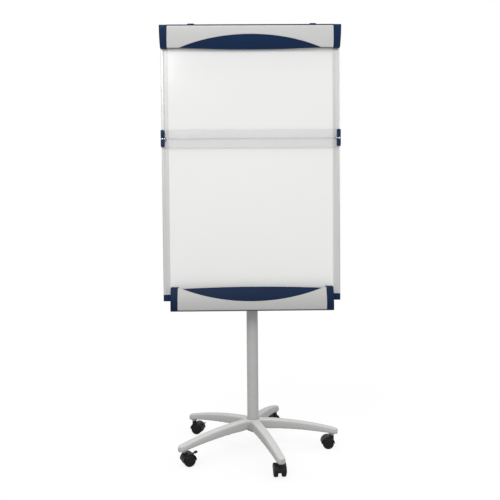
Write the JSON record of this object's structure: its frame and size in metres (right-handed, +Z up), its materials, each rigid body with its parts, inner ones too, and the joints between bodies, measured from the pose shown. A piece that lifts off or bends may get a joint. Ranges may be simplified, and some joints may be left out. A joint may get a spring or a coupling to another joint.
{
  "type": "flipchart easel",
  "caption": "Mobile flipchart easel: framed dry-wipe board with pad clamp, sheet keeper and pen tray on a telescopic column and star base with casters.",
  "frame": {"origin": "on the floor under the axis of the column", "axes": "+Z up, the writing surface faces -Y, +X to the right of a person who looks at the board"},
  "size_m": [0.7732, 0.719, 1.845],
  "materials": {
    "base_coat": "satin light grey powder coat",
    "zinc": "zinc plated",
    "column_coat": "satin mid grey powder coat",
    "black_plastic": "fine grained black nylon",
    "bush": "natural acetal",
    "inner_tube": "bright plated tube",
    "enamel": "gloss white enamel writing surface",
    "board_core": "fibreboard",
    "back_zinc": "grey coated back sheet",
    "anodised": "satin silver anodised",
    "navy_plastic": "fine grained navy plastic",
    "rubber_grip": "matt black rubber",
    "spring_steel": "oiled spring steel",
    "clear_acrylic": "clear acrylic, ribbed",
    "bright_screw": "polished",
    "wheel_black": "satin black nylon"
  },
  "bodies": {
    "base": {"star_base": "base_coat", "base_bolt": "zinc", "outer_column": "column_coat", "collar": "black_plastic", "collar_bush": "bush", "caster_stems": "zinc"},
    "board": {"inner_column": "inner_tube", "foot_bush": "bush", "column_top_cap": "black_plastic", "lower_bracket": "black_plastic", "upper_bracket": "black_plastic", "bracket_bolts": "zinc", "support_bars": "zinc", "frame_screws": "zinc", "writing_sheet": "enamel", "panel_core": "board_core", "back_sheet": "back_zinc", "left_rail": "anodised", "right_rail": "anodised", "bottom_rail": "anodised", "header_rail": "anodised", "header_top_strip": "navy_plastic", "corner_cap_left": "navy_plastic", "corner_cap_right": "navy_plastic", "header_cap_left": "navy_plastic", "header_cap_right": "navy_plastic", "hinge_pins": "zinc", "tray_front": "anodised", "tray_insert": "navy_plastic", "tray_liner": "navy_plastic", "tray_cap_left": "navy_plastic", "tray_cap_right": "navy_plastic"},
    "clamp": {"clamp_bar": "anodised", "clamp_insert": "navy_plastic", "clamp_grip": "rubber_grip", "clamp_springs": "spring_steel"},
    "hook_l": {"hook_left": "navy_plastic"},
    "hook_r": {"hook_right": "navy_plastic"},
    "sheet_keeper": {"ruler_blade": "clear_acrylic", "ruler_clip_left": "navy_plastic", "ruler_clip_right": "navy_plastic", "ruler_screws": "bright_screw"},
    "knob": {"height_knob": "black_plastic"},
    "swivel_1": {"caster_hood_1": "black_plastic", "caster_axle_1": "zinc"},
    "wheels_1": {"caster_wheels_1": "wheel_black"},
    "swivel_2": {"caster_hood_2": "black_plastic", "caster_axle_2": "zinc"},
    "wheels_2": {"caster_wheels_2": "wheel_black"},
    "swivel_3": {"caster_hood_3": "black_plastic", "caster_axle_3": "zinc"},
    "wheels_3": {"caster_wheels_3": "wheel_black"},
    "brake_3": {"brake_lever_3": "black_plastic"},
    "swivel_4": {"caster_hood_4": "black_plastic", "caster_axle_4": "zinc"},
    "wheels_4": {"caster_wheels_4": "wheel_black"},
    "brake_4": {"brake_lever_4": "black_plastic"},
    "swivel_5": {"caster_hood_5": "black_plastic", "caster_axle_5": "zinc"},
    "wheels_5": {"caster_wheels_5": "wheel_black"}
  },
  "joints": [
    {"name": "height_slide", "type": "slide", "parent": "base", "child": "board", "axis": [0, 0, 1], "range_m": [-0.15, 0.15]},
    {"name": "height_knob_turn", "type": "hinge", "parent": "base", "child": "knob", "pos_m": [0, 0.05, 0.968], "axis": [0, 1, 0], "range_deg": [0, 360]},
    {"name": "clamp_hinge", "type": "hinge", "parent": "board", "child": "clamp", "pos_m": [0, -0.09474, 1.8271], "axis": [-1, 0, 0], "range_deg": [0, 75]},
    {"name": "hook_left_slide", "type": "slide", "parent": "board", "child": "hook_l", "axis": [1, 0, 0], "range_m": [-0.06, 0.06]},
    {"name": "hook_right_slide", "type": "slide", "parent": "board", "child": "hook_r", "axis": [1, 0, 0], "range_m": [-0.06, 0.06]},
    {"name": "sheet_keeper_slide", "type": "slide", "parent": "board", "child": "sheet_keeper", "axis": [0, 0, 1], "range_m": [-0.575, 0.315]},
    {"name": "caster_1_swivel", "type": "hinge", "parent": "base", "child": "swivel_1", "pos_m": [0.34991, -0.00794, 0.05], "axis": [0, 0, 1], "continuous": true},
    {"name": "caster_1_roll", "type": "hinge", "parent": "swivel_1", "child": "wheels_1", "pos_m": [0.33191, -0.00826, 0.025], "axis": [0.0175, -0.9998, 0], "continuous": true},
    {"name": "caster_2_swivel", "type": "hinge", "parent": "base", "child": "swivel_2", "pos_m": [0.11568, 0.33033, 0.05], "axis": [0, 0, 1], "continuous": true},
    {"name": "caster_2_roll", "type": "hinge", "parent": "swivel_2", "child": "wheels_2", "pos_m": [0.1015, 0.31925, 0.025], "axis": [0.6157, -0.788, 0], "continuous": true},
    {"name": "caster_3_swivel", "type": "hinge", "parent": "base", "child": "swivel_3", "pos_m": [-0.27842, 0.2121, 0.05], "axis": [0, 0, 1], "continuous": true},
    {"name": "caster_3_roll", "type": "hinge", "parent": "swivel_3", "child": "wheels_3", "pos_m": [-0.2615, 0.20594, 0.025], "axis": [0.342, 0.9397, 0], "continuous": true},
    {"name": "brake_3_lever", "type": "hinge", "parent": "swivel_3", "child": "brake_3", "pos_m": [-0.24421, 0.19965, 0.04544], "axis": [0.342, 0.9397, 0], "range_deg": [0, 22]},
    {"name": "caster_4_swivel", "type": "hinge", "parent": "base", "child": "swivel_4", "pos_m": [-0.28775, -0.19925, 0.05], "axis": [0, 0, 1], "continuous": true},
    {"name": "caster_4_roll", "type": "hinge", "parent": "swivel_4", "child": "wheels_4", "pos_m": [-0.27144, -0.19164, 0.025], "axis": [-0.4226, 0.9063, 0], "continuous": true},
    {"name": "brake_4_lever", "type": "hinge", "parent": "swivel_4", "child": "brake_4", "pos_m": [-0.25476, -0.18386, 0.04544], "axis": [-0.4226, 0.9063, 0], "range_deg": [0, 22]},
    {"name": "caster_5_swivel", "type": "hinge", "parent": "base", "child": "swivel_5", "pos_m": [0.10058, -0.33524, 0.05], "axis": [0, 0, 1], "continuous": true},
    {"name": "caster_5_roll", "type": "hinge", "parent": "swivel_5", "child": "wheels_5", "pos_m": [0.09901, -0.31731, 0.025], "axis": [-0.9962, -0.0872, 0], "continuous": true}
  ]
}
